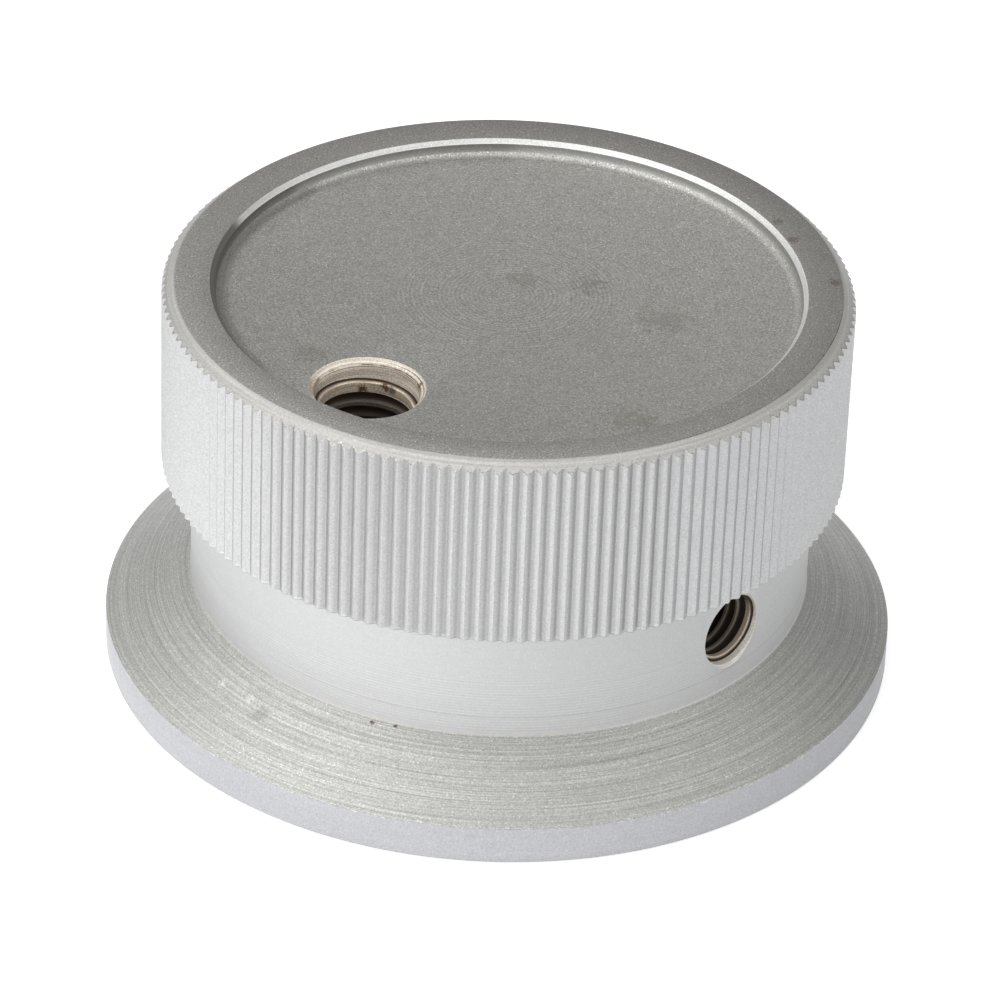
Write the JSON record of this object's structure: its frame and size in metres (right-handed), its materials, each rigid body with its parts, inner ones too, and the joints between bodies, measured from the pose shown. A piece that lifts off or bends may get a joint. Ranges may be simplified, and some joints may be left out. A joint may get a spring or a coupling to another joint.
{
  "type": "knurled control knob",
  "caption": "Round turned knob with a coned skirt, a plain neck and a dished, straight-knurled head, tapped for a crank handle and a set screw.",
  "frame": {"origin": "centre of the flat base, on the turning axis", "axes": "+Z along the turning axis, from the base up to the dished head"},
  "size_m": [0.064, 0.064, 0.0336],
  "materials": {
    "satin_aluminium": "fine blasted satin over turning marks, worn on its edges"
  },
  "bodies": {
    "root": {"knob": "satin_aluminium"}
  },
  "joints": []
}
